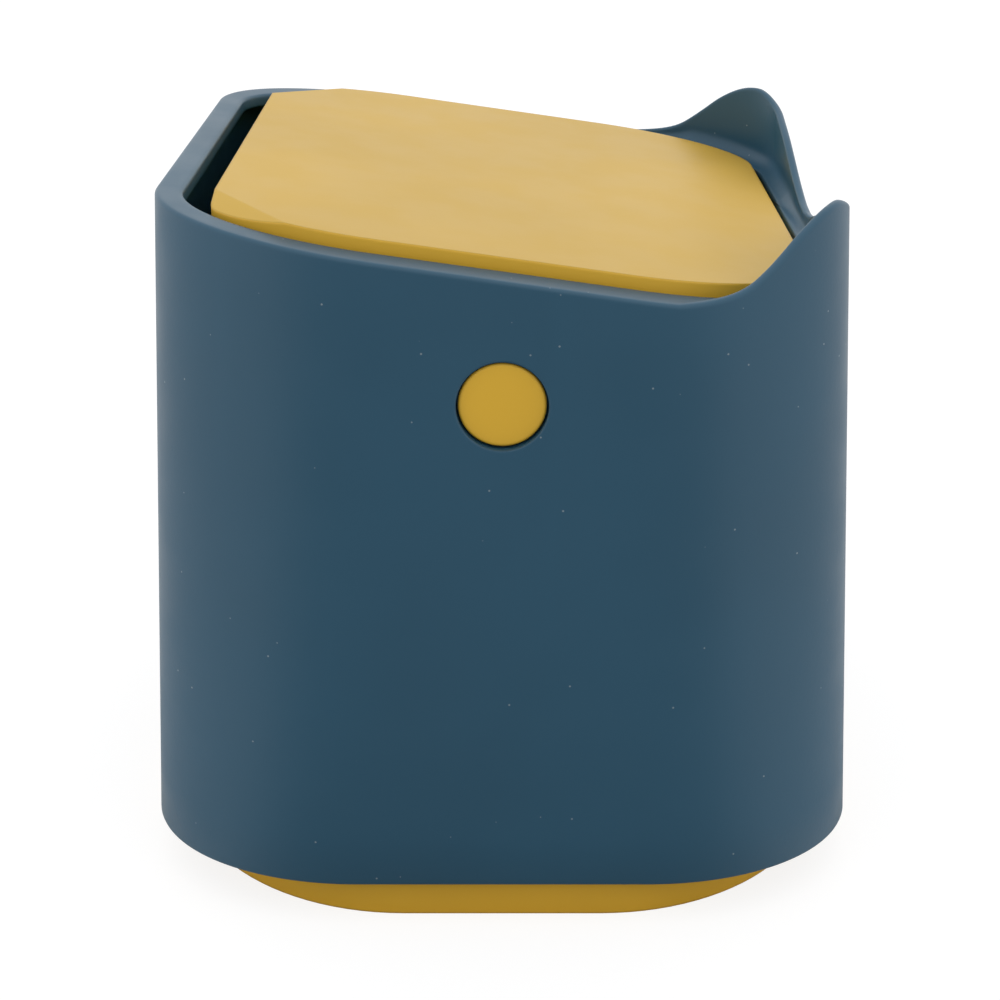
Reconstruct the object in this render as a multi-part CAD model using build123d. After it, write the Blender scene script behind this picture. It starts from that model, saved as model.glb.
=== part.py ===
from build123d import *
import math
import os

# Cat litter bin: a drafted shell with two ears and a sloping rim, a lid that rocks on two
# pivot caps, and a bucket that carries the shell and shows below it as a foot.
# Millimetres and degrees. +X runs to the ears, +Z is up, the origin is under the middle.

# Overall form of the shell, measured at the high end of its rim
top_length = 190.0
top_depth = 206.6
high_rim_height = 203.0
shell_lift = 12.6
side_draft = 2.79
rim_slope = 8.22
corner_length = 62.9
corner_depth = 44.6
shell_wall = 2.4

# Ears
ear_rise = 26.4
ear_thickness = 2.6
ear_length = 45.5
ear_end_inset = 7.5
ear_side_inset = 25.3
ear_valley = 1.5
# Two points on each ear's outer flank and on its slope to the valley, as shares of the way
flank_low_share = 0.5
flank_low_rise = 0.24
flank_high_share = 0.8
flank_high_rise = 0.70
slope_low_share = 0.32
slope_low_rise = 0.30
slope_high_share = 0.58
slope_high_rise = 0.76

# Rim and the mouth that the lid fills
rim_thickness = 2.6
rim_width_high = 8.4
rim_width_low = 6.3
rim_width_side = 9.3
mouth_lip_depth = 4.0
mouth_lip_wall = 2.0
rim_edge_size = 0.7
mouth_edge_size = 0.6

# Pivot, the same at front and rear
pivot_x = 0.0
pivot_height = 155.8
head_diameter = 23.2
head_gap = 0.55
head_thickness = 2.4
head_recess = 1.3
head_seat_gap = 0.3
journal_diameter = 14.0
journal_clearance = 0.06
spigot_diameter = 9.6
spigot_length = 8.0
spigot_flat = 3.6
spigot_clearance = 0.03
cap_core_diameter = 5.0
cup_wall = 2.2
sleeve_wall = 2.2
cheek_gap = 0.5
hole_edge_size = 0.6
cap_edge_size = 0.4

# Lid
lid_proud = 3.0
lid_gap_high = 8.6
lid_gap_low = 3.5
lid_gap_side = 2.0
lid_thickness = 2.4
lid_skirt_depth = 8.0
lid_skirt_wall = 2.0
lid_corner_radius = 7.0
lid_rib_width = 1.6
lid_rib_depth = 5.0
lid_rib_x = 45.0
lid_rib_y = 40.0
facet_length = 25.0
facet_depth = 27.0
facet_angle = 16.0
cheek_thickness = 2.6
cheek_radius = 13.0
cheek_top_half = 34.0
cheek_inset = 1.0
socket_wall = 2.8

# Stops under the low end of the lid
stop_reach = 7.0
stop_width = 9.0
stop_y = 34.0
stop_height = 7.0
stop_gap = 0.3

# Bucket and its foot
bucket_height = 114.0
bucket_clearance = 1.0
bucket_draft = 0.5
bucket_wall = 2.2
bucket_floor_height = 2.0
bucket_floor = 2.4
bucket_corner = 63.0
foot_top = 15.0
foot_wall = 2.4
foot_clearance = 0.8
foot_flare = 2.6
foot_corner = 72.0
foot_rib_count = 3
foot_rib_pitch = 45.0

# Lugs inside the shell that rest on the bucket
lug_gap = 0.3
lug_height = 12.0
lug_depth = 5.0
lug_width = 3.0
lug_spread = 25.0

# How far the solids that cut or fill reach past what they meet
overlap = 1.0
reach = 5.0
prism_drop = 40.0
pocket_drop = 60.0
lug_root = 2.0
facet_cut_size = 120.0
facet_cut_height = 40.0
big = 400.0

slope = math.tan(math.radians(rim_slope))
draft = math.tan(math.radians(side_draft))
ear_tip_x = top_length / 2 - ear_end_inset
ear_start_x = ear_tip_x - ear_length
ear_tip_y = top_depth / 2 - ear_side_inset
ear_top = high_rim_height - slope * (top_length / 2 + ear_tip_x) + ear_rise
body_top = max(ear_top, high_rim_height)
mouth_x_min = -top_length / 2 + rim_width_high
mouth_x_max = top_length / 2 - rim_width_low
mouth_half_depth = top_depth / 2 - rim_width_side
mouth_corner_x = corner_length - rim_width_side
mouth_corner_y = corner_depth - rim_width_side


def rim_height(x):
    """Height of the sloping rim plane at x."""
    return high_rim_height - slope * (x + top_length / 2)


def rounded_outline(x_min, x_max, half_depth, corner_x, corner_y, height):
    """The eight edges of an outline whose corners are quarter ellipses."""
    left = x_min + corner_x
    right = x_max - corner_x
    front = -half_depth + corner_y
    back = half_depth - corner_y
    edges = [
        Line((left, -half_depth), (right, -half_depth)),
        EllipticalCenterArc((right, front), corner_x, corner_y, 270, arc_size=90),
        Line((x_max, front), (x_max, back)),
        EllipticalCenterArc((right, back), corner_x, corner_y, 0, arc_size=90),
        Line((right, half_depth), (left, half_depth)),
        EllipticalCenterArc((left, back), corner_x, corner_y, 90, arc_size=90),
        Line((x_min, back), (x_min, front)),
        EllipticalCenterArc((left, front), corner_x, corner_y, 180, arc_size=90),
    ]
    return [Pos(0, 0, height) * edge for edge in edges]


def shell_outline(height, inset):
    """The shell's outline at a height, moved in by inset."""
    spread = draft * (high_rim_height - height) - inset
    half_length = top_length / 2 + spread
    half_depth = top_depth / 2 + spread
    corner_x = corner_length - inset
    corner_y = corner_depth - inset
    return rounded_outline(-half_length, half_length, half_depth, corner_x, corner_y, height)


def shell_block(low, high, inset=0.0):
    """The drafted body of the shell between two heights: flat sides and leaning round corners."""
    bottom = shell_outline(low, inset)
    top = shell_outline(high, inset)
    faces = [make_face(bottom).face(), make_face(top).face()]
    for lower, upper in zip(bottom, top):
        if lower.geom_type == GeomType.LINE:
            faces.append(Face(Wire.make_polygon([lower @ 0, lower @ 1, upper @ 1, upper @ 0])))
        else:
            faces.append(Face.extrude(lower, (upper @ 0) - (lower @ 0)))
    return Solid(Shell(faces))


def above_rim(offset):
    """Everything above the rim plane moved up by offset."""
    x = top_length
    profile = Polyline(
        (-x, rim_height(-x) + offset), (x, rim_height(x) + offset), (x, big), (-x, big), close=True
    )
    return extrude(Plane.XZ * make_face(profile), amount=big, both=True)


def mouth_prism(inset, low, high):
    """An upright prism of the mouth's outline, moved in by inset."""
    outline = rounded_outline(
        mouth_x_min + inset,
        mouth_x_max - inset,
        mouth_half_depth - inset,
        mouth_corner_x - inset,
        mouth_corner_y - inset,
        low,
    )
    return extrude(make_face(outline), amount=high - low)


def y_cylinder(radius, y_from, y_to):
    """A cylinder on the pivot axis between two distances from the middle."""
    middle = (y_from + y_to) / 2
    return Pos(pivot_x, middle, pivot_height) * Rot(90, 0, 0) * Cylinder(radius, abs(y_to - y_from))


def rear(solid):
    """The front piece turned into the rear one."""
    return mirror(solid, about=Plane.XZ)


# Levels along the pivot axis, as distances from the middle
wall_y = top_depth / 2 + draft * (high_rim_height - pivot_height)
head_outer_y = wall_y - head_recess
head_inner_y = head_outer_y - head_thickness
cup_floor_y = head_inner_y - head_seat_gap
lid_half_depth = mouth_half_depth - lid_gap_side
cheek_outer_y = lid_half_depth - cheek_inset
cheek_inner_y = cheek_outer_y - cheek_thickness
sleeve_end_y = cheek_outer_y + cheek_gap
spigot_end_y = cheek_outer_y - spigot_length
recess_radius = head_diameter / 2 + head_gap
bore_radius = journal_diameter / 2 + journal_clearance


def ear_cut_sides():
    """What is cut away over the long sides, leaving the flank of each ear."""
    foot = (ear_start_x, rim_height(ear_start_x))
    tip = (ear_tip_x, ear_top)
    x_low = ear_start_x + flank_low_share * ear_length
    x_high = ear_start_x + flank_high_share * ear_length
    flank = Spline(
        foot,
        (x_low, rim_height(x_low) + flank_low_rise * ear_rise),
        (x_high, rim_height(x_high) + flank_high_rise * ear_rise),
        tip,
        tangents=[(1, -slope), (1, 0.05)],
    )
    x = top_length
    edges = [
        Line((-x, rim_height(-x)), foot),
        flank,
        Line(tip, (x, ear_top)),
        Line((x, ear_top), (x, big)),
        Line((x, big), (-x, big)),
        Line((-x, big), (-x, rim_height(-x))),
    ]
    return extrude(Plane.XZ * make_face(edges), amount=big, both=True)


def ear_cut_end():
    """What is cut away over the low end, leaving a valley between the ears."""
    valley = rim_height(top_length / 2) + ear_valley
    rise = ear_top - valley
    half = [
        (slope_low_share * ear_tip_y, valley + slope_low_rise * rise),
        (slope_high_share * ear_tip_y, valley + slope_high_rise * rise),
        (ear_tip_y, ear_top),
    ]
    points = [(-y, z) for y, z in reversed(half)] + [(0, valley)] + half
    edge = Spline(*points, tangents=[(1, -0.05), (1, 0.05)])
    y = top_depth
    edges = [
        Line((-y, ear_top), points[0]),
        edge,
        Line(points[-1], (y, ear_top)),
        Line((y, ear_top), (y, big)),
        Line((y, big), (-y, big)),
        Line((-y, big), (-y, ear_top)),
    ]
    cut = extrude(Plane.YZ * make_face(edges), amount=big)
    return Pos(ear_tip_x - ear_thickness, 0, 0) * cut


def make_shell_lugs(cavity):
    """Short lugs on the inside walls that rest on the bucket's rim."""
    low = bucket_height + lug_gap
    spread = draft * (high_rim_height - low) - shell_wall
    half_length = top_length / 2 + spread
    half_depth = top_depth / 2 + spread
    tall = Plane.XZ * make_face(
        Polyline((0, 0), (lug_depth, 0), (lug_depth, lug_height / 3), (0, lug_height), close=True)
    )
    lug = extrude(tall, amount=lug_width / 2, both=True)
    lug += Pos(-lug_root, 0, lug_height / 2) * Box(2 * lug_root, lug_width, lug_height)
    lugs = []
    for side in (-1, 1):
        at_end = Pos(-half_length, side * lug_spread, low) * lug
        at_side = Pos(side * lug_spread, -half_depth, low) * Rot(0, 0, 90) * lug
        lugs += [at_end, mirror(at_end, about=Plane.YZ), at_side, rear(at_side)]
    return [lug & cavity for lug in lugs]


def make_lid_stops(cavity):
    """Two ribs on the low end wall that the lid rests on."""
    top_offset = lid_proud - lid_skirt_depth - stop_gap
    x_start = mouth_x_max - stop_reach
    x_end = top_length / 2
    block = Box(x_end - x_start, stop_width, 2 * mouth_lip_depth + 2 * stop_height)
    stops = []
    for side in (-1, 1):
        stop = Pos((x_start + x_end) / 2, side * stop_y, rim_height(mouth_x_max)) * block
        stop -= above_rim(top_offset)
        stop &= above_rim(top_offset - stop_height)
        stops.append(stop & cavity)
    return stops


def make_pivot_cup():
    """The sunk cup and sleeve in the front wall that a cap turns in."""
    cup = y_cylinder(recess_radius + cup_wall, -wall_y - 1.5, -cup_floor_y + cup_wall)
    cup += y_cylinder(bore_radius + sleeve_wall, -cup_floor_y, -sleeve_end_y)
    return cup


def shared_edges(faces, others):
    """The edges where any of some faces meets any of some others."""
    edges = []
    for face in faces:
        for edge in face.edges():
            if any(edge.is_same(other_edge) for other in others for other_edge in other.edges()):
                edges.append(edge)
    return edges


def make_shell_block():
    """The solid form of the shell with its ears and an eased top edge."""
    block = shell_block(shell_lift, body_top + overlap)
    block -= ear_cut_sides()
    block -= ear_cut_end()
    walls = [face for face in block.faces() if face.bounding_box().min.Z < shell_lift + overlap]
    tops = [face for face in block.faces() if face.bounding_box().min.Z > shell_lift + overlap]
    return chamfer(shared_edges(tops, walls), rim_edge_size)


def is_mouth_edge(edge):
    """Whether an edge lies in the rim plane on the mouth's outline."""
    box = edge.bounding_box()
    centre = edge.center()
    in_depth = abs(centre.Y) < mouth_half_depth + 0.1
    in_length = mouth_x_min - 0.1 < centre.X < mouth_x_max + 0.1
    low_on_rim = abs(box.min.Z - rim_height(box.max.X)) < 0.05
    high_on_rim = abs(box.max.Z - rim_height(box.min.X)) < 0.05
    return in_depth and in_length and low_on_rim and high_on_rim


def mouth_edge_trim():
    """The thin ring that is taken off the mouth's upper edge."""
    low = rim_height(mouth_x_max) - mouth_lip_depth
    ring = mouth_prism(-shell_wall, low, high_rim_height) - above_rim(0)
    ring -= mouth_prism(0, low, high_rim_height)
    edges = [edge for edge in ring.edges() if is_mouth_edge(edge)]
    return ring - chamfer(edges, mouth_edge_size)


def is_hole_edge(edge):
    """Whether an edge is the outer edge of a hole in the front or rear wall."""
    return edge.geom_type == GeomType.ELLIPSE and abs(edge.center().Y) > cup_floor_y + 1


def make_outer_shell():
    block = make_shell_block()
    pocket = shell_block(high_rim_height - pocket_drop, body_top + reach, ear_thickness) & above_rim(0)
    shell = block - pocket
    cavity = shell_block(shell_lift - overlap, high_rim_height, shell_wall) - above_rim(-rim_thickness)
    shell -= cavity
    low = rim_height(mouth_x_max) - prism_drop
    lip = mouth_prism(-mouth_lip_wall, low, body_top) & above_rim(-mouth_lip_depth)
    lip -= above_rim(-rim_thickness / 2)
    shell += lip
    shell -= mouth_prism(0, low, body_top)
    shell -= mouth_edge_trim()
    for stop in make_lid_stops(cavity):
        shell += stop
    cup = make_pivot_cup()
    outer = shell_block(shell_lift, high_rim_height)
    cup &= outer
    for piece in (cup, rear(cup)):
        shell += piece
    hole = y_cylinder(recess_radius, -wall_y - reach, -cup_floor_y)
    hole += y_cylinder(bore_radius, -wall_y - reach, -sleeve_end_y + reach)
    for piece in (hole, rear(hole)):
        shell -= piece
    shell = chamfer([edge for edge in shell.edges() if is_hole_edge(edge)], hole_edge_size)
    for lug in make_shell_lugs(cavity):
        shell += lug
    return shell


def lid_body(top, bottom, inset):
    """The lid's outline between two planes parallel to the rim, with its lowered corners."""
    side = lid_gap_side + inset
    x_end = mouth_x_min + lid_gap_high + inset
    outline = rounded_outline(
        mouth_x_min + side,
        mouth_x_max - lid_gap_low - inset,
        mouth_half_depth - side,
        mouth_corner_x - side,
        mouth_corner_y - side,
        rim_height(mouth_x_max) - prism_drop,
    )
    face = make_face(outline)
    face -= Pos(x_end - big, 0, rim_height(mouth_x_max) - prism_drop) * Rectangle(2 * big, 2 * big)
    face = fillet(face.vertices().sort_by(Axis.X)[:2], lid_corner_radius - inset)
    prism = extrude(face, amount=big)
    prism &= above_rim(bottom)
    prism -= above_rim(top)
    for turn in (1, -1):
        prism -= facet_cut(top, turn)
    return prism


def facet_cut(top, turn):
    """What the sloping facet takes off one corner at the high end."""
    x_end = mouth_x_min + lid_gap_high
    x_fold = x_end + facet_length
    y_fold = lid_half_depth - facet_depth
    start = Vector(x_end, turn * y_fold, rim_height(x_end) + top)
    end = Vector(x_fold, turn * lid_half_depth, rim_height(x_fold) + top)
    along = (end - start).normalized()
    outward = Vector(0, 0, 1).cross(along)
    if outward.X > 0:
        outward = outward * -1
    tilt = math.radians(facet_angle)
    down = outward.normalized() * math.cos(tilt) - Vector(0, 0, 1) * math.sin(tilt)
    normal = along.cross(down)
    if normal.Z < 0:
        normal = normal * -1
    plane = Plane(origin=(start + end) / 2, x_dir=along, z_dir=normal)
    cutter = Box(facet_cut_size, facet_cut_size, facet_cut_height)
    return plane * Pos(0, 0, facet_cut_height / 2) * cutter


def make_cheek(under):
    """The arm at the lid's front edge that reaches down to the pivot."""
    top = rim_height(-cheek_top_half)
    outline = make_face(
        Polyline(
            (-cheek_top_half, top),
            (cheek_top_half, top),
            (cheek_top_half, rim_height(cheek_top_half) - 8),
            (pivot_x + cheek_radius, pivot_height),
            (pivot_x - cheek_radius, pivot_height),
            (-cheek_top_half, rim_height(-cheek_top_half) - 8),
            close=True,
        )
    )
    outline += Pos(pivot_x, pivot_height) * Circle(cheek_radius)
    cheek = extrude(Plane.XZ * outline, amount=cheek_thickness)
    cheek = Pos(0, -cheek_inner_y, 0) * cheek
    cheek -= under
    socket_radius = spigot_diameter / 2 + socket_wall
    cheek += y_cylinder(socket_radius, -cheek_outer_y, -spigot_end_y)
    return cheek


def make_spigot(y_from, y_to, clearance):
    """The flatted spigot that keys a cap to the lid."""
    spigot = y_cylinder(spigot_diameter / 2 + clearance, y_from, y_to)
    flat = Box(3 * spigot_diameter, 2 * big, spigot_diameter)
    return spigot - Pos(pivot_x, 0, pivot_height - spigot_flat - clearance - spigot_diameter / 2) * flat


def make_swing_lid():
    outer = lid_body(lid_proud, lid_proud - lid_skirt_depth, 0)
    inner = lid_body(lid_proud - lid_thickness, lid_proud - lid_skirt_depth - 5, lid_skirt_wall)
    lid = outer - inner
    rib_band = inner & above_rim(lid_proud - lid_thickness - lid_rib_depth)
    for x in (-lid_rib_x, 0, lid_rib_x):
        lid += Pos(x, 0, high_rim_height) * Box(lid_rib_width, 2 * top_depth, big) & rib_band
    for y in (-lid_rib_y, lid_rib_y):
        lid += Pos(0, y, high_rim_height) * Box(2 * top_length, lid_rib_width, big) & rib_band
    cheek = make_cheek(above_rim(lid_proud - lid_thickness / 2))
    for piece in (cheek, rear(cheek)):
        lid += piece
    hole = make_spigot(-cheek_outer_y - 1, -spigot_end_y + 1, spigot_clearance)
    for piece in (hole, rear(hole)):
        lid -= piece
    return lid


def make_pivot_cap():
    """The front cap: a head in the cup, a journal in the sleeve and a spigot in the lid."""
    head = y_cylinder(head_diameter / 2, -head_outer_y, -head_inner_y)
    head = chamfer(head.edges().group_by(Axis.Y)[0], cap_edge_size)
    cap = head + y_cylinder(journal_diameter / 2, -head_inner_y, -cheek_outer_y)
    cap += make_spigot(-cheek_outer_y, -spigot_end_y, 0)
    cap -= y_cylinder(cap_core_diameter / 2, -head_inner_y, -spigot_end_y + 1)
    return cap


def tapered_tub(half_length, half_depth, corner, low, high, flare):
    """A block with round corners that widens upward by an angle."""
    face = RectangleRounded(2 * half_length, 2 * half_depth, corner)
    return extrude(Pos(0, 0, low) * face, amount=high - low, taper=-flare)


def bucket_block(low, high, inset):
    """The bucket's form between two heights, moved in by inset."""
    widest = draft * (high_rim_height - bucket_height) - shell_wall - bucket_clearance
    spread = widest - math.tan(math.radians(bucket_draft)) * (bucket_height - low) - inset
    half_length = top_length / 2 + spread
    half_depth = top_depth / 2 + spread
    return tapered_tub(half_length, half_depth, bucket_corner - inset, low, high, bucket_draft)


def foot_block(low, high, inset):
    """The foot's form between two heights, moved in by inset."""
    widest = draft * (high_rim_height - foot_top) - shell_wall - foot_clearance
    spread = widest - math.tan(math.radians(foot_flare)) * (foot_top - low) - inset
    half_length = top_length / 2 + spread
    half_depth = top_depth / 2 + spread
    return tapered_tub(half_length, half_depth, foot_corner - inset, low, high, foot_flare)


def make_inner_bucket():
    body = bucket_block(bucket_floor_height, bucket_height, 0)
    hollow = bucket_block(bucket_floor_height + bucket_floor, bucket_height + 1, bucket_wall)
    foot_hollow = foot_block(0, foot_top - foot_wall, foot_wall)
    bucket = foot_block(0, foot_top, 0) - foot_hollow
    bucket += body
    for index in range(foot_rib_count):
        place = (index - (foot_rib_count - 1) / 2) * foot_rib_pitch
        across = Pos(place, 0, foot_top / 2) * Box(bucket_wall, 2 * top_depth, foot_top)
        along = Pos(0, place, foot_top / 2) * Box(2 * top_length, bucket_wall, foot_top)
        bucket += across & foot_hollow
        bucket += along & foot_hollow
    return bucket - hollow


os.makedirs("parts", exist_ok=True)
front_cap = make_pivot_cap()
nodes = {
    "outer_shell": make_outer_shell(),
    "swing_lid": make_swing_lid(),
    "pivot_cap_front": front_cap,
    "pivot_cap_rear": rear(front_cap),
    "inner_bucket": make_inner_bucket(),
}
for name, solid in nodes.items():
    export_step(solid, f"parts/{name}.step")
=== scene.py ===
"""The looks of the cat litter bin: satin moulded plastic, white studio, camera as in the photograph."""
import math

import bpy
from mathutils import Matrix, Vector


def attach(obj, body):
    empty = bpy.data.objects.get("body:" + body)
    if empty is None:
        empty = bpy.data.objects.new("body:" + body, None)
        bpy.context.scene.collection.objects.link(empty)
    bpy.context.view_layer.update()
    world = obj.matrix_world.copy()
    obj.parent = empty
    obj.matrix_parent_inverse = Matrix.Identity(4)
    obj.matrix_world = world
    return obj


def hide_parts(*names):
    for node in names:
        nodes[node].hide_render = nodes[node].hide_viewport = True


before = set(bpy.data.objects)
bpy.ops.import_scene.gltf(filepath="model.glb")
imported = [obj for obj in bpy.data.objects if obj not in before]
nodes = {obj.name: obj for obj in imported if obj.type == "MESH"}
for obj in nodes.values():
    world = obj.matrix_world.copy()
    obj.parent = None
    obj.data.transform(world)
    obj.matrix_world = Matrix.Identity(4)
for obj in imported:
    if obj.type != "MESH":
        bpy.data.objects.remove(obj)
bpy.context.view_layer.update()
MM = 0.001

# Camera, matched to the photograph
CAMERA_PLACE = Vector((-0.61, -533.59, 324.24)) * MM
CAMERA_PITCH = 20.6
SENSOR_MM = 36.0
LENS_MM = 63.83
SHIFT_Y = -0.12

# Light levels
SURROUND_LEVEL = 1.0
FRONT_LEVEL = 0.42
FRONT_INNER_ANGLE = 20.0
FRONT_OUTER_ANGLE = 46.0
FLOOR_SIDE = 0.8
FLOOR_FRONT = 0.36
FLOOR_INNER_ANGLE = 22.0
FLOOR_OUTER_ANGLE = 44.0
FLOOR_GLOW = 0.82
FLOOR_SHADOW_GREY = 0.26
FLOOR_SIZE = 6.0
WHITE = (1.0, 1.0, 1.0, 1.0)

# Linear colours of the plastics
SHELL_BLUE = (0.022, 0.093, 0.157, 1.0)
LID_YELLOW = (0.66, 0.41, 0.044, 1.0)
# Painted light: the lid's steep sides take this lighter, fuller yellow for the light that falls on them from
# the sides
LID_SIDE_PAINTED_LIGHT = (0.96, 0.56, 0.052, 1.0)
CAP_YELLOW = (0.86, 0.51, 0.042, 1.0)
BUCKET_YELLOW = (0.84, 0.475, 0.033, 1.0)
SPECK_COLOUR = (0.45, 0.50, 0.52, 1.0)

# Roughness of the plastics, and the shell's flow marks and dust
SHELL_ROUGHNESS = 0.36
LID_ROUGHNESS = 0.42
CAP_ROUGHNESS = 0.34
BUCKET_ROUGHNESS = 0.4
SHELL_FLOW = 0.05
SHELL_SPECKS = 0.5

# Patterns in the plastic: their scales, and how far they reach
CLOUD_SCALE = 14.0
CLOUD_RANGE = (0.35, 0.65)
TINT_SPREAD = 0.03
FLOW_SCALE = 38.0
FLOW_DETAIL = 3.0
FLOW_STRETCH = (1.0, 1.0, 0.06)
FLOW_RANGE = (0.56, 0.72)
FLOW_LIGHTER = 1.6
SPECK_SCALE = 150.0
SPECK_RADIUS = 0.05
# Heights of the normal over which steep faces change to the painted side light
PAINTED_SIDE_LIGHT_RANGE = (0.55, 0.92)
ROUGH_SCALE = 55.0
ROUGH_DETAIL = 3.0
ROUGH_RANGE = (0.3, 0.7)
ROUGH_SPREAD = 0.03
GRAIN_SCALE = 900.0
GRAIN_STRENGTH = 0.05
GRAIN_DEPTH = 0.0004

# How far edges are rounded in their shading, in metres, and the angle that counts as an edge
EDGE_RADIUS = 0.0011
EDGE_SAMPLES = 8
SHARP_ANGLE = 32.0

# The shell's form in millimetres. Outline, draft, slope and walls are those of the solid. The
# mouth starts 0.8 nearer the high end, and the edges have true rounds
RIM_LENGTH = 190.0
RIM_DEPTH = 206.6
HIGH_RIM = 203.0
SHELL_LOW = 12.6
DRAFT = math.tan(math.radians(2.79))
SLOPE = math.tan(math.radians(8.22))
CORNER_X = 62.9
CORNER_Y = 44.6
WALL = 2.4
EAR_WALL = 2.6
MOUTH_LOW_X = -87.4
MOUTH_HIGH_X = 88.7
MOUTH_HALF = 94.0
MOUTH_CORNER_X = 53.6
MOUTH_CORNER_Y = 35.3
LIP_DEPTH = 4.0
LIP_WALL = 2.0
RIM_THICKNESS = 2.6
OUTER_ROUND = 1.1
MOUTH_ROUND = 0.9
CREST_ROUND = 1.0
ROOT_ROUND = 6.0
FOOT_ROUND = 0.6

# The largest rounds on a low ear, as shares of its height
CREST_SHARE = 0.35
ROOT_SHARE = 0.6

# How high the ears stand over the rim: along the sides by x, and across the low end by y
EAR_FLANK = [
    (46.0, 0.0), (53.5, 1.5), (60.5, 3.6), (65.6, 6.2), (70.0, 9.8),
    (74.3, 13.9), (79.4, 19.0), (84.8, 23.4), (89.0, 25.8), (96.0, 28.0),
]
EAR_END = [
    (0.0, 3.8), (9.0, 4.9), (20.0, 8.2), (26.0, 10.4), (31.0, 12.4), (37.0, 14.8),
    (45.0, 17.8), (58.0, 21.6), (66.0, 23.8), (75.0, 26.6), (82.0, 29.0),
]
EAR_BLEND = 0.6

# Steps along the eight stretches of an outline, and rows of points in a section of the shell
OUTLINE_STEPS = (14, 56, 60, 56, 14, 36, 16, 36)
OUTER_ROWS = 12
INNER_ROWS = 4
SHELF_SHARES = (0.35, 0.7)

# The pivot in the shell's front and rear walls, in millimetres
PIVOT_HEIGHT = 155.8
PIVOT_WALL_Y = RIM_DEPTH / 2 + DRAFT * (HIGH_RIM - PIVOT_HEIGHT)
RECESS_RADIUS = 12.15
CUP_WALL = 2.2
BORE_RADIUS = 7.06
SLEEVE_WALL = 2.2
CUP_FLOOR_Y = 101.6
SLEEVE_END_Y = 91.5
CUTTER_REACH = 4 * WALL
LATHE_STEPS = 72

# Stops for the lid and lugs on the bucket, in millimetres
STOP_REACH = 7.0
STOP_WIDTH = 9.0
STOP_Y = 34.0
STOP_TOP = -5.3
STOP_HEIGHT = 7.0
LUG_LOW = 114.3
LUG_HEIGHT = 12.0
LUG_DEPTH = 5.0
LUG_WIDTH = 3.0
LUG_TIP = 0.6 * WALL
LUG_SPREAD = 25.0


class Graph:
    """A short way to write shader nodes."""

    def __init__(self, tree):
        self.tree = tree
        tree.nodes.clear()

    def add(self, kind, **settings):
        node = self.tree.nodes.new(kind)
        for name, value in settings.items():
            setattr(node, name, value)
        return node

    def link(self, source, target):
        self.tree.links.new(source, target)

    def ramp(self, value, low, high, out_low=0.0, out_high=1.0):
        """A soft step from one level to another."""
        node = self.add("ShaderNodeMapRange", interpolation_type="SMOOTHSTEP")
        self.link(value, node.inputs["Value"])
        node.inputs["From Min"].default_value = low
        node.inputs["From Max"].default_value = high
        node.inputs["To Min"].default_value = out_low
        node.inputs["To Max"].default_value = out_high
        return node.outputs["Result"]

    def noise(self, scale, detail=2.0, stretch=(1.0, 1.0, 1.0)):
        place = self.add("ShaderNodeTexCoord")
        mapping = self.add("ShaderNodeMapping")
        mapping.inputs["Scale"].default_value = stretch
        self.link(place.outputs["Object"], mapping.inputs["Vector"])
        texture = self.add("ShaderNodeTexNoise")
        texture.inputs["Scale"].default_value = scale
        texture.inputs["Detail"].default_value = detail
        self.link(mapping.outputs["Vector"], texture.inputs["Vector"])
        return texture.outputs["Fac"]

    def dots(self, scale, radius, strength):
        """Round dots, few because only cells centred close to the surface show."""
        place = self.add("ShaderNodeTexCoord")
        cells = self.add("ShaderNodeTexVoronoi")
        cells.inputs["Scale"].default_value = scale
        self.link(place.outputs["Object"], cells.inputs["Vector"])
        return self.ramp(cells.outputs["Distance"], 0.6 * radius, radius, strength, 0.0)

    def mix_colour(self, factor, first, second):
        node = self.add("ShaderNodeMix", data_type="RGBA")
        self.link(factor, node.inputs["Factor"])
        for socket, value in ((node.inputs["A"], first), (node.inputs["B"], second)):
            if isinstance(value, tuple):
                socket.default_value = value
            else:
                self.link(value, socket)
        return node.outputs["Result"]


def shade(colour, share):
    """A colour made lighter or darker by a share."""
    return tuple(channel * share for channel in colour[:3]) + (1.0,)


def plastic_tint(graph, colour, flow, specks, side):
    """The plastic's colour with faint clouds, flow marks and dust, and a painted side light that makes steep
    sides lighter and fuller in colour.
    """
    clouds = graph.ramp(graph.noise(CLOUD_SCALE), *CLOUD_RANGE)
    tint = graph.mix_colour(clouds, shade(colour, 1 - TINT_SPREAD), shade(colour, 1 + TINT_SPREAD))
    if flow:
        streaks = graph.noise(FLOW_SCALE, FLOW_DETAIL, FLOW_STRETCH)
        marks = graph.ramp(streaks, *FLOW_RANGE, 0.0, flow)
        tint = graph.mix_colour(marks, tint, shade(colour, FLOW_LIGHTER))
    if specks:
        tint = graph.mix_colour(graph.dots(SPECK_SCALE, SPECK_RADIUS, specks), tint, SPECK_COLOUR)
    # Painted light: faces that turn away from straight up get the lighter side colour, for light falling on
    # them from the sides
    if side:
        place = graph.add("ShaderNodeTexCoord")
        facing = graph.add("ShaderNodeSeparateXYZ")
        graph.link(place.outputs["Normal"], facing.inputs["Vector"])
        tint = graph.mix_colour(graph.ramp(facing.outputs["Z"], *PAINTED_SIDE_LIGHT_RANGE), side, tint)
    return tint


def plastic_normal(graph):
    """A fine moulded grain over softened edges."""
    bump = graph.add("ShaderNodeBump")
    bump.inputs["Strength"].default_value = GRAIN_STRENGTH
    bump.inputs["Distance"].default_value = GRAIN_DEPTH
    graph.link(graph.noise(GRAIN_SCALE), bump.inputs["Height"])
    rounding = graph.add("ShaderNodeBevel", samples=EDGE_SAMPLES)
    rounding.inputs["Radius"].default_value = EDGE_RADIUS
    graph.link(rounding.outputs["Normal"], bump.inputs["Normal"])
    return bump.outputs["Normal"]


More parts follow.
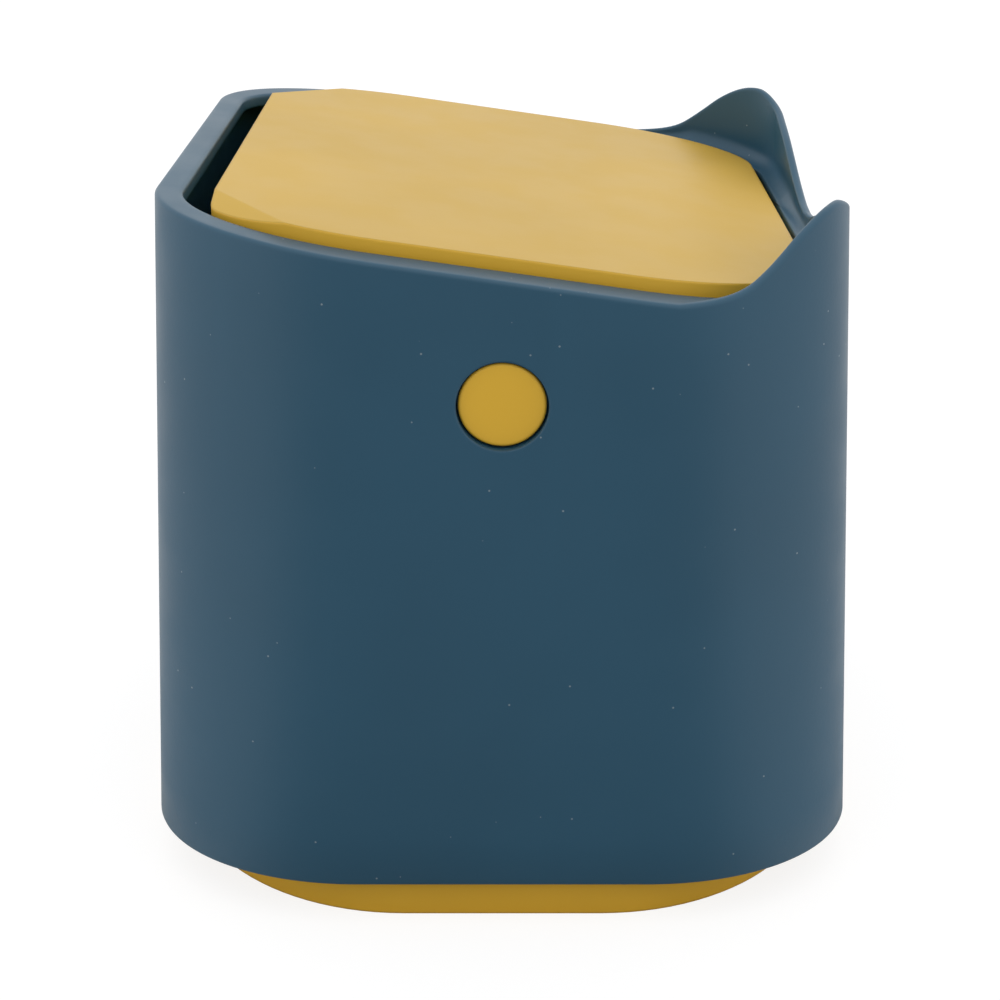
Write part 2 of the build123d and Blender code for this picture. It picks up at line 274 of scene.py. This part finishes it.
def moulded_plastic(name, colour, roughness, flow=0.0, specks=0.0, side=None):
    """Satin moulded plastic."""
    material = bpy.data.materials.new(name)
    material.use_nodes = True
    graph = Graph(material.node_tree)
    surface = graph.add("ShaderNodeBsdfPrincipled")
    output = graph.add("ShaderNodeOutputMaterial")
    graph.link(surface.outputs["BSDF"], output.inputs["Surface"])
    graph.link(plastic_tint(graph, colour, flow, specks, side), surface.inputs["Base Color"])
    patches = graph.noise(ROUGH_SCALE, ROUGH_DETAIL)
    rough = graph.ramp(patches, *ROUGH_RANGE, roughness - ROUGH_SPREAD, roughness + ROUGH_SPREAD)
    graph.link(rough, surface.inputs["Roughness"])
    graph.link(plastic_normal(graph), surface.inputs["Normal"])
    return material


def rim(x):
    """Height of the sloping rim plane at x, in millimetres."""
    return HIGH_RIM - SLOPE * (x + RIM_LENGTH / 2)


def columns():
    """The places round an outline: which stretch, and how far along it."""
    places = []
    for stretch, count in enumerate(OUTLINE_STEPS):
        places += [(stretch, index / count) for index in range(count)]
    return places


def outline_point(place, low_x, high_x, half_y, corner_x, corner_y):
    """A point of a rounded outline with quarter ellipses at its corners."""
    stretch, share = place
    left, right = low_x + corner_x, high_x - corner_x
    front, back = corner_y - half_y, half_y - corner_y
    if stretch == 0:
        return left + (right - left) * share, -half_y
    if stretch == 2:
        return high_x, front + (back - front) * share
    if stretch == 4:
        return right + (left - right) * share, half_y
    if stretch == 6:
        return low_x, back + (front - back) * share
    start = {1: -90.0, 3: 0.0, 5: 90.0, 7: 180.0}[stretch]
    middle = {1: (right, front), 3: (right, back), 5: (left, back), 7: (left, front)}[stretch]
    angle = math.radians(start + 90.0 * share)
    return middle[0] + corner_x * math.cos(angle), middle[1] + corner_y * math.sin(angle)


def wall_point(place, height, inset):
    """A point of the shell's wall at a height, moved in by inset."""
    spread = DRAFT * (HIGH_RIM - height) - inset
    half_x = RIM_LENGTH / 2 + spread
    half_y = RIM_DEPTH / 2 + spread
    return outline_point(place, -half_x, half_x, half_y, CORNER_X - inset, CORNER_Y - inset)


def mouth_point(place, inset):
    """A point of the mouth's outline, moved out by a negative inset."""
    return outline_point(
        place,
        MOUTH_LOW_X + inset,
        MOUTH_HIGH_X - inset,
        MOUTH_HALF - inset,
        MOUTH_CORNER_X - inset,
        MOUTH_CORNER_Y - inset,
    )


def along(points, at):
    """The value of a smooth curve through points, level beyond its ends."""
    if at <= points[0][0]:
        return points[0][1]
    if at >= points[-1][0]:
        return points[-1][1]
    for index in range(len(points) - 1):
        if at <= points[index + 1][0]:
            break
    before = points[max(index - 1, 0)]
    start, end = points[index], points[index + 1]
    after = points[min(index + 2, len(points) - 1)]
    width = end[0] - start[0]
    slope_start = (end[1] - before[1]) / (end[0] - before[0])
    slope_end = (after[1] - start[1]) / (after[0] - start[0])
    t = (at - start[0]) / width
    value = start[1] * (1 + 2 * t) * (1 - t) ** 2 + end[1] * t * t * (3 - 2 * t)
    return value + width * (slope_start * t * (1 - t) ** 2 - slope_end * t * t * (1 - t))


def ear_height(x, y):
    """How far the wall's top stands over the rim plane: the lower of the two curves, blended."""
    flank = along(EAR_FLANK, x)
    end = along(EAR_END, abs(y))
    soft = math.exp(-flank / EAR_BLEND) + math.exp(-end / EAR_BLEND)
    return max(0.0, -EAR_BLEND * math.log(soft))


def arc(centre, radius, start, end, steps):
    """Points of an arc in the section, in degrees."""
    points = []
    for index in range(steps + 1):
        angle = math.radians(start + (end - start) * index / steps)
        points.append((centre[0] + radius * math.cos(angle), centre[1] + radius * math.sin(angle)))
    return points


def top_profile(ear):
    """In and up from the wall's outer face at the rim plane, with the ear as a thin upstand."""
    crest = min(CREST_ROUND, CREST_SHARE * ear)
    root = min(ROOT_ROUND, ROOT_SHARE * ear)
    profile = arc((OUTER_ROUND, ear - OUTER_ROUND), OUTER_ROUND, 180, 90, steps=5)
    profile += arc((EAR_WALL - crest, ear - crest), crest, 90, 0, steps=4)
    profile += arc((EAR_WALL + root, root), root, 180, 270, steps=8)
    return profile


def outside_points(place, top):
    """From the foot's rounded edge up the outer wall, short of its top."""
    points = []
    for inset, up in arc((FOOT_ROUND, FOOT_ROUND), FOOT_ROUND, 270, 180, steps=2):
        height = SHELL_LOW + up
        points.append((*wall_point(place, height, inset), height))
    low = SHELL_LOW + FOOT_ROUND
    for row in range(1, OUTER_ROWS):
        height = low + (top - low) * row / OUTER_ROWS
        points.append((*wall_point(place, height, 0.0), height))
    return points


def top_points(place, x, profile):
    """Over the rim or ear and down to the shelf, x being the wall's place along the rim."""
    points = []
    for inset, up in profile:
        near_x = wall_point(place, rim(x) + up, inset)[0]
        height = rim(near_x) + up
        points.append((*wall_point(place, height, inset), height))
    return points


def shelf_points(place, shelf):
    """Two points from the ear's root towards the mouth's rounded edge."""
    edge = mouth_point(place, 0.0)
    flat = 1 - MOUTH_ROUND / math.dist(shelf[:2], edge)
    points = []
    for share in SHELF_SHARES:
        x = shelf[0] + (edge[0] - shelf[0]) * share * flat
        y = shelf[1] + (edge[1] - shelf[1]) * share * flat
        points.append((x, y, rim(x)))
    return points


def lip_points(place):
    """Over the mouth's rounded edge, down the lip and back up behind it."""
    profile = arc((-MOUTH_ROUND, -MOUTH_ROUND), MOUTH_ROUND, 90, 0, steps=4)
    profile += [(0.0, -LIP_DEPTH), (-LIP_WALL, -LIP_DEPTH), (-LIP_WALL, -RIM_THICKNESS)]
    points = []
    for inset, up in profile:
        x, y = mouth_point(place, inset)
        points.append((x, y, rim(x) + up))
    return points


def inside_points(place, x):
    """Under the rim and down the inner wall to the foot."""
    near_x, near_y = wall_point(place, rim(x) - RIM_THICKNESS, WALL)
    top = rim(near_x) - RIM_THICKNESS
    points = [(near_x, near_y, top)]
    for row in range(1, INNER_ROWS + 1):
        height = top + (SHELL_LOW - top) * row / INNER_ROWS
        points.append((*wall_point(place, height, WALL), height))
    return points


def shell_section(place):
    """One closed section of the shell: up the outside, over the rim and down the inside."""
    x, y = wall_point(place, rim(RIM_LENGTH / 2), 0.0)
    profile = top_profile(ear_height(x, y))
    points = outside_points(place, rim(x) + profile[0][1])
    points += top_points(place, x, profile)
    points += shelf_points(place, points[-1])
    points += lip_points(place)
    return points + inside_points(place, x)


def smooth(piece):
    """Smooth shading between sharp edges."""
    piece.data.shade_smooth()
    piece.data.set_sharp_from_angle(angle=math.radians(SHARP_ANGLE))


def make_piece(name, points, faces, material):
    """A mesh piece from points in millimetres."""
    mesh = bpy.data.meshes.new(name)
    mesh.from_pydata([(x * MM, y * MM, z * MM) for x, y, z in points], [], faces)
    mesh.validate()
    mesh.update()
    mesh.materials.append(material)
    piece = bpy.data.objects.new(name, mesh)
    bpy.context.scene.collection.objects.link(piece)
    smooth(piece)
    return piece


def loop_faces(loops, count, flip=False):
    """Faces between closed loops of count points each, the last loop joined to the first."""
    faces = []
    for loop in range(loops):
        after = (loop + 1) % loops
        for index in range(count):
            other = (index + 1) % count
            face = (loop * count + index, after * count + index, after * count + other, loop * count + other)
            faces.append(face[::-1] if flip else face)
    return faces


def lathe(profile, side):
    """Points and faces of a closed profile of radius and distance, turned about the pivot axis."""
    points = []
    for step in range(LATHE_STEPS):
        angle = 2 * math.pi * step / LATHE_STEPS
        for radius, distance in profile:
            x = radius * math.cos(angle)
            z = PIVOT_HEIGHT + radius * math.sin(angle)
            points.append((x, side * distance, z))
    return points, loop_faces(LATHE_STEPS, len(profile), flip=side > 0)


def block(corners):
    """Points and faces of a solid with eight corners: four below, four above, both anticlockwise."""
    faces = [(3, 2, 1, 0), (4, 5, 6, 7)]
    faces += [(0, 1, 5, 4), (1, 2, 6, 5), (2, 3, 7, 6), (3, 0, 4, 7)]
    return corners, faces


def gather(parts):
    """Several sets of points and faces as one."""
    points, faces = [], []
    for part_points, part_faces in parts:
        first = len(points)
        points += part_points
        faces += [tuple(first + index for index in face) for face in part_faces]
    return points, faces


def pivot_cup(side):
    """The sunk cup with its sleeve: a closed ring about the pivot axis."""
    inner_y = PIVOT_WALL_Y - WALL / 2
    profile = [
        (RECESS_RADIUS, inner_y),
        (RECESS_RADIUS, CUP_FLOOR_Y),
        (BORE_RADIUS, CUP_FLOOR_Y),
        (BORE_RADIUS, SLEEVE_END_Y),
        (BORE_RADIUS + SLEEVE_WALL, SLEEVE_END_Y),
        (BORE_RADIUS + SLEEVE_WALL, CUP_FLOOR_Y - CUP_WALL),
        (RECESS_RADIUS + CUP_WALL, CUP_FLOOR_Y - CUP_WALL),
        (RECESS_RADIUS + CUP_WALL, inner_y),
    ]
    return lathe(profile, side)


def hole_cutter(side):
    """A closed cylinder through the wall at the pivot."""
    radius = RECESS_RADIUS
    profile = [(radius, PIVOT_WALL_Y - CUTTER_REACH), (radius, PIVOT_WALL_Y + CUTTER_REACH)]
    points, faces = lathe(profile, side)
    # A profile of two points gives each face twice, facing out and in, so every other one is kept
    faces = faces[::2]
    near = tuple(range(0, len(points), 2))
    far = tuple(range(1, len(points), 2))
    faces += [near, far[::-1]] if side > 0 else [near[::-1], far]
    return points, faces


def lid_stop(side):
    """A rib on the low end wall that the lid rests on."""
    start = MOUTH_HIGH_X - STOP_REACH
    end = RIM_LENGTH / 2 - WALL / 2
    low_y = side * STOP_Y - STOP_WIDTH / 2
    high_y = side * STOP_Y + STOP_WIDTH / 2
    plan = [(start, low_y), (end, low_y), (end, high_y), (start, high_y)]
    corners = [(x, y, rim(x) + STOP_TOP - STOP_HEIGHT) for x, y in plan]
    corners += [(x, y, rim(x) + STOP_TOP) for x, y in plan]
    return block(corners)


def bucket_lug(at_end, sign, side):
    """A lug that rests on the bucket: deep at its foot and slim at its top."""
    spread = DRAFT * (HIGH_RIM - LUG_LOW) - WALL / 2
    wall = (RIM_LENGTH if at_end else RIM_DEPTH) / 2 + spread
    low_y = side * LUG_SPREAD - LUG_WIDTH / 2
    high_y = side * LUG_SPREAD + LUG_WIDTH / 2
    corners = []
    for depth, height in ((WALL / 2 + LUG_DEPTH, LUG_LOW), (LUG_TIP, LUG_LOW + LUG_HEIGHT)):
        inner = wall - depth
        for x, y in ((inner, low_y), (wall, low_y), (wall, high_y), (inner, high_y)):
            corners.append((sign * x, y, height) if at_end else (y, sign * x, height))
    points, faces = block(corners)
    # Turning the plan over turns its faces too
    if (sign < 0) == at_end:
        faces = [face[::-1] for face in faces]
    return points, faces


def cut_pivot_holes(piece):
    """Open the front and rear walls round the pivot, then drop the cutters."""
    for side in (-1, 1):
        cutter = make_piece("cutter", *hole_cutter(side), piece.data.materials[0])
        modifier = piece.modifiers.new("hole", "BOOLEAN")
        modifier.operation = "DIFFERENCE"
        modifier.solver = "EXACT"
        modifier.object = cutter
        graph = bpy.context.evaluated_depsgraph_get()
        mesh = bpy.data.meshes.new_from_object(piece.evaluated_get(graph))
        piece.modifiers.clear()
        old = piece.data
        piece.data = mesh
        bpy.data.meshes.remove(old)
        bpy.data.objects.remove(cutter)
    smooth(piece)


def add_shell(material):
    """The moulded shell with rounded rim, ears and mouth, in place of its CAD node."""
    sections = [shell_section(place) for place in columns()]
    points = [point for section in sections for point in section]
    faces = loop_faces(len(sections), len(sections[0]))
    shell = make_piece("moulded_shell", points, faces, material)
    cut_pivot_holes(shell)
    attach(shell, "shell")
    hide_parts("outer_shell")


def add_shell_fittings(material):
    """The shell's pivot cups, lid stops and bucket lugs."""
    parts = [pivot_cup(side) for side in (-1, 1)]
    parts += [lid_stop(side) for side in (-1, 1)]
    for at_end in (True, False):
        for sign in (-1, 1):
            parts += [bucket_lug(at_end, sign, side) for side in (-1, 1)]
    fittings = make_piece("shell_fittings", *gather(parts), material)
    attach(fittings, "shell")


def dress(node_name, material):
    """Give a CAD node its material and smooth shading between sharp edges."""
    piece = nodes[node_name]
    piece.data.materials.clear()
    piece.data.materials.append(material)
    smooth(piece)


def add_camera():
    """The photographer's camera."""
    data = bpy.data.cameras.new("photo_camera")
    data.sensor_width = SENSOR_MM
    data.lens = LENS_MM
    data.shift_y = SHIFT_Y
    camera = bpy.data.objects.new("photo_camera", data)
    camera.location = CAMERA_PLACE
    camera.rotation_euler = (math.radians(90 - CAMERA_PITCH), 0, 0)
    bpy.context.scene.collection.objects.link(camera)
    bpy.context.scene.camera = camera


def front_share(graph, direction, inner_angle, outer_angle, side, front):
    """A level that changes from side to front in a cone around the photographer's direction."""
    facing = graph.add("ShaderNodeVectorMath", operation="DOT_PRODUCT")
    facing.inputs[1].default_value = (0.0, -1.0, 0.0)
    graph.link(direction, facing.inputs[0])
    low = math.cos(math.radians(outer_angle))
    high = math.cos(math.radians(inner_angle))
    return graph.ramp(facing.outputs["Value"], low, high, side, front)


def camera_choice(graph, others, seen, output_kind):
    """One shader for what the camera sees directly and another for all other light."""
    path = graph.add("ShaderNodeLightPath")
    choose = graph.add("ShaderNodeMixShader")
    graph.link(path.outputs["Is Camera Ray"], choose.inputs["Fac"])
    graph.link(others, choose.inputs[1])
    graph.link(seen, choose.inputs[2])
    output = graph.add(output_kind)
    graph.link(choose.outputs["Shader"], output.inputs["Surface"])


def add_surroundings():
    """A white studio all round, darker where the photographer stands, plain white to the camera."""
    world = bpy.data.worlds.new("studio")
    world.use_nodes = True
    graph = Graph(world.node_tree)
    place = graph.add("ShaderNodeTexCoord")
    level = front_share(
        graph, place.outputs["Generated"], FRONT_INNER_ANGLE, FRONT_OUTER_ANGLE, SURROUND_LEVEL, FRONT_LEVEL
    )
    glow = graph.add("ShaderNodeBackground")
    glow.inputs["Color"].default_value = WHITE
    graph.link(level, glow.inputs["Strength"])
    white = graph.add("ShaderNodeBackground")
    white.inputs["Color"].default_value = WHITE
    camera_choice(graph, glow.outputs["Background"], white.outputs["Background"], "ShaderNodeOutputWorld")
    bpy.context.scene.world = world


def floor_material():
    """A grey floor to the object's light, and a near-white one that keeps its shadow to the camera."""
    material = bpy.data.materials.new("floor_white")
    material.use_nodes = True
    graph = Graph(material.node_tree)
    place = graph.add("ShaderNodeTexCoord")
    direction = graph.add("ShaderNodeVectorMath", operation="NORMALIZE")
    graph.link(place.outputs["Object"], direction.inputs[0])
    level = front_share(
        graph, direction.outputs["Vector"], FLOOR_INNER_ANGLE, FLOOR_OUTER_ANGLE, FLOOR_SIDE, FLOOR_FRONT
    )
    grey = graph.add("ShaderNodeBsdfDiffuse")
    graph.link(level, grey.inputs["Color"])
    glow = graph.add("ShaderNodeEmission")
    glow.inputs["Strength"].default_value = FLOOR_GLOW
    shadowed = graph.add("ShaderNodeBsdfDiffuse")
    shadowed.inputs["Color"].default_value = shade(WHITE, FLOOR_SHADOW_GREY)
    seen = graph.add("ShaderNodeAddShader")
    graph.link(glow.outputs["Emission"], seen.inputs[0])
    graph.link(shadowed.outputs["BSDF"], seen.inputs[1])
    camera_choice(graph, grey.outputs["BSDF"], seen.outputs["Shader"], "ShaderNodeOutputMaterial")
    return material


def add_floor():
    """The floor that the bin stands on."""
    mesh = bpy.data.meshes.new("floor")
    half = FLOOR_SIZE / 2
    corners = [(-half, -half, 0), (half, -half, 0), (half, half, 0), (-half, half, 0)]
    mesh.from_pydata(corners, [], [(0, 1, 2, 3)])
    floor = bpy.data.objects.new("floor", mesh)
    bpy.context.scene.collection.objects.link(floor)
    mesh.materials.append(floor_material())


bpy.context.scene.view_settings.view_transform = "Standard"
blue = moulded_plastic("shell_blue", SHELL_BLUE, SHELL_ROUGHNESS, flow=SHELL_FLOW, specks=SHELL_SPECKS)
add_shell(blue)
add_shell_fittings(blue)
# The lid's steep sides get a painted side light in their colour
dress("swing_lid", moulded_plastic("lid_yellow", LID_YELLOW, LID_ROUGHNESS, side=LID_SIDE_PAINTED_LIGHT))
for cap in ("pivot_cap_front", "pivot_cap_rear"):
    dress(cap, moulded_plastic(cap, CAP_YELLOW, CAP_ROUGHNESS))
dress("inner_bucket", moulded_plastic("bucket_yellow", BUCKET_YELLOW, BUCKET_ROUGHNESS))
add_camera()
add_surroundings()
add_floor()
